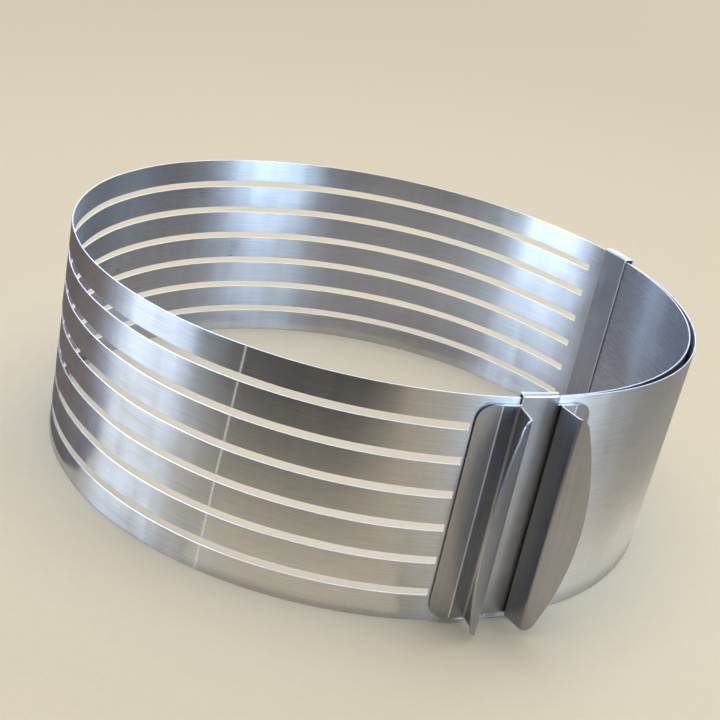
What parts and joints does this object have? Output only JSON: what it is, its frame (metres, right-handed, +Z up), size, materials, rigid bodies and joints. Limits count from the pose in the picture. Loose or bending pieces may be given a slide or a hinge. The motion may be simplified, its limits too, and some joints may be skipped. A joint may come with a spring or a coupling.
{
  "type": "adjustable cake slicer",
  "caption": "Springy slotted steel ring that goes round a cake and guides a knife through level slots; its plain ends overlap and slide in a winged clip and a keeper to set the size.",
  "frame": {"origin": "on the ring's axis, in the plane of the lower edge that it stands on", "axes": "+Z up along the ring's axis; the overlap of the plain ends is on the +X side, the winged clip towards -Y and the keeper towards +Y"},
  "size_m": [0.2442, 0.2519, 0.0863],
  "materials": {
    "band_steel": "satin, brushed along the band",
    "clip_steel": "polished sheet with fine rolling marks"
  },
  "bodies": {
    "ring": {"slotted_band": "band_steel", "clip_carrier": "clip_steel", "left_wing": "clip_steel", "right_wing": "clip_steel"},
    "inner_end": {"inner_band_end": "band_steel", "band_keeper": "clip_steel"}
  },
  "joints": [
    {"name": "size_slide", "type": "hinge", "parent": "ring", "child": "inner_end", "pos_m": [0, 0, 0], "axis": [0, 0, -1], "range_deg": [0, 82]}
  ]
}
